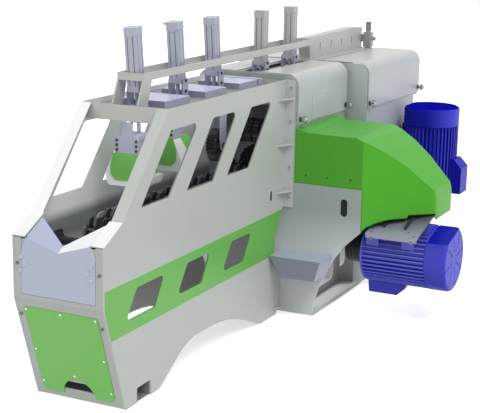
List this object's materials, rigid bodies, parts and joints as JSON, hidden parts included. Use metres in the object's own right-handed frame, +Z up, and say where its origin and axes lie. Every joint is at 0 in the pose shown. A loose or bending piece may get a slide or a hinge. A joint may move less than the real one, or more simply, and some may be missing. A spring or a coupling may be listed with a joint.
{
  "type": "log milling saw",
  "caption": "Log milling and sawing machine: chain infeed with V funnel, overhead press units, hooded milling and outfeed modules, belt guard and two motors.",
  "frame": {"origin": "middle of the footprint, on the floor", "axes": "+Z up, +Y along the feed from the nose to the outfeed, +X to the motor side"},
  "size_m": [2.06, 4.458, 2.0998],
  "materials": {
    "paint_gray": "semi gloss light gray paint",
    "paint_frame": "semi gloss gray paint",
    "paint_hood": "semi gloss light gray paint",
    "plate_lavender": "pale blue gray paint",
    "paint_green": "gloss leaf green paint",
    "paint_guard": "gloss leaf green paint",
    "cylinder_body": "anodised aluminium",
    "press_steel": "ground steel",
    "dark_steel": "dark oiled steel",
    "bolts": "zinc plated steel",
    "bright_steel": "ground steel",
    "motor_plate": "pale blue gray paint",
    "paint_blue": "gloss blue paint",
    "belt": "matte rubber",
    "knob_bright": "bright turned steel",
    "regulator": "dark coated aluminium",
    "regulator_knob": "black plastic"
  },
  "bodies": {
    "frame": {"infeed_side_right": "paint_gray", "infeed_side_left": "paint_gray", "nose_frame": "paint_gray", "mill_front_wall": "paint_gray", "roof_frame": "paint_gray", "mill_frame": "paint_frame", "outfeed_frame": "paint_frame", "chain_bed": "paint_frame", "infeed_funnel": "plate_lavender", "roof_covers": "plate_lavender", "chip_chute": "plate_lavender", "cylinder_feet": "plate_lavender", "top_rail": "plate_lavender", "rail_box": "plate_lavender", "nose_cover": "paint_green", "belt_guard": "paint_guard", "cylinder_1": "cylinder_body", "cylinder_2": "cylinder_body", "cylinder_3": "cylinder_body", "cylinder_4": "cylinder_body", "cylinder_5": "cylinder_body", "feed_chain": "dark_steel", "shaft_bearings": "dark_steel", "frame_bolts": "bolts", "side_motor_housing": "paint_blue", "side_motor_cowl": "paint_blue", "side_motor_box": "paint_blue", "drive_belts": "belt", "regulator_body": "regulator"},
    "knob_regulator": {"regulator_knob": "regulator_knob"},
    "chain_drive": {"chain_drive_shaft": "dark_steel"},
    "chain_idler": {"chain_idler_shaft": "dark_steel"},
    "press_1": {"press_slide_1": "press_steel", "press_shoe_1": "paint_green"},
    "press_2": {"press_slide_2": "press_steel", "press_shoe_2": "paint_green"},
    "press_3": {"press_slide_3": "press_steel"},
    "wheel_3": {"press_wheel_3": "dark_steel"},
    "press_4": {"press_slide_4": "press_steel"},
    "roller_4": {"press_roller_4": "dark_steel"},
    "press_5": {"press_slide_5": "press_steel"},
    "roller_5": {"press_roller_5": "dark_steel"},
    "arbor": {"arbor_shaft": "bright_steel", "milling_heads": "dark_steel", "saw_blades": "bright_steel"},
    "motor_swing": {"motor_plate": "motor_plate", "main_motor_housing": "paint_blue", "main_motor_cowl": "paint_blue", "main_motor_box": "paint_blue"},
    "main_rotor": {"main_motor_rotor": "bright_steel"},
    "hood_1_r": {"hood_1_right": "paint_hood", "hood_1_knobs_right": "knob_bright"},
    "hood_1_l": {"hood_1_left": "paint_hood", "hood_1_knobs_left": "knob_bright"},
    "hood_2_r": {"hood_2_right": "paint_hood", "hood_2_knobs_right": "knob_bright"},
    "hood_2_l": {"hood_2_left": "paint_hood", "hood_2_knobs_left": "knob_bright"},
    "side_rotor": {"side_motor_rotor": "bright_steel"},
    "side_spindle": {"side_cutter": "dark_steel"}
  },
  "joints": [
    {"name": "regulator_turn", "type": "hinge", "parent": "frame", "child": "knob_regulator", "pos_m": [-0.322, 2.159, 1.87], "axis": [0, 0, 1], "range_deg": [-360, 360]},
    {"name": "chain_drive_spin", "type": "hinge", "parent": "frame", "child": "chain_drive", "pos_m": [-0.43, -0.119, 0.877], "axis": [1, 0, 0], "continuous": true},
    {"name": "chain_idler_spin", "type": "hinge", "parent": "frame", "child": "chain_idler", "pos_m": [-0.43, -1.81059, 0.877], "axis": [1, 0, 0], "continuous": true},
    {"name": "press_1_slide", "type": "slide", "parent": "frame", "child": "press_1", "axis": [0, -0.1132, 0.9936], "range_m": [-0.08, 0.06]},
    {"name": "press_2_slide", "type": "slide", "parent": "frame", "child": "press_2", "axis": [0, -0.1132, 0.9936], "range_m": [-0.08, 0.06]},
    {"name": "press_3_slide", "type": "slide", "parent": "frame", "child": "press_3", "axis": [0, -0.1132, 0.9936], "range_m": [-0.06, 0.06]},
    {"name": "press_4_slide", "type": "slide", "parent": "frame", "child": "press_4", "axis": [0, 0, 1], "range_m": [-0.08, 0.06]},
    {"name": "press_5_slide", "type": "slide", "parent": "frame", "child": "press_5", "axis": [0, 0, 1], "range_m": [-0.08, 0.06]},
    {"name": "wheel_3_spin", "type": "hinge", "parent": "press_3", "child": "wheel_3", "pos_m": [-0.43, -0.35359, 1.24], "axis": [1, 0, 0], "continuous": true},
    {"name": "roller_4_spin", "type": "hinge", "parent": "press_4", "child": "roller_4", "pos_m": [-0.43, 0.309, 1.24], "axis": [1, 0, 0], "continuous": true},
    {"name": "roller_5_spin", "type": "hinge", "parent": "press_5", "child": "roller_5", "pos_m": [-0.43, 0.809, 1.24], "axis": [1, 0, 0], "continuous": true},
    {"name": "arbor_spin", "type": "hinge", "parent": "frame", "child": "arbor", "pos_m": [-0.43, 0.539, 0.905], "axis": [1, 0, 0], "continuous": true},
    {"name": "motor_swing_tension", "type": "hinge", "parent": "frame", "child": "motor_swing", "pos_m": [0.66, 0.69336, 0.78162], "axis": [1, 0, 0], "range_deg": [-1, 1], "deforming": ["drive_belts"]},
    {"name": "main_rotor_spin", "type": "hinge", "parent": "motor_swing", "child": "main_rotor", "pos_m": [0.66, 0.383, 0.468], "axis": [1, 0, 0], "continuous": true},
    {"name": "hood_1_right_open", "type": "hinge", "parent": "frame", "child": "hood_1_r", "pos_m": [-0.335, 0.554, 1.675], "axis": [0, -1, 0], "range_deg": [0, 60]},
    {"name": "hood_1_left_open", "type": "hinge", "parent": "frame", "child": "hood_1_l", "pos_m": [-0.525, 0.554, 1.675], "axis": [0, 1, 0], "range_deg": [0, 60]},
    {"name": "hood_2_right_open", "type": "hinge", "parent": "frame", "child": "hood_2_r", "pos_m": [-0.27, 1.639, 1.675], "axis": [0, -1, 0], "range_deg": [0, 60]},
    {"name": "hood_2_left_open", "type": "hinge", "parent": "frame", "child": "hood_2_l", "pos_m": [-0.59, 1.639, 1.675], "axis": [0, 1, 0], "range_deg": [0, 60]},
    {"name": "side_rotor_spin", "type": "hinge", "parent": "frame", "child": "side_rotor", "pos_m": [0.345, 1.866, 0.8], "axis": [0, 0, 1], "continuous": true},
    {"name": "side_spindle_spin", "type": "hinge", "parent": "frame", "child": "side_spindle", "pos_m": [-0.13, 1.866, 0.8], "axis": [0, 0, 1], "continuous": true}
  ],
  "couplings": [
    {"joint": "chain_idler_spin", "follows": "chain_drive_spin", "ratio": 1},
    {"joint": "arbor_spin", "follows": "main_rotor_spin", "ratio": 1.1667},
    {"joint": "side_spindle_spin", "follows": "side_rotor_spin", "ratio": 1.5}
  ]
}
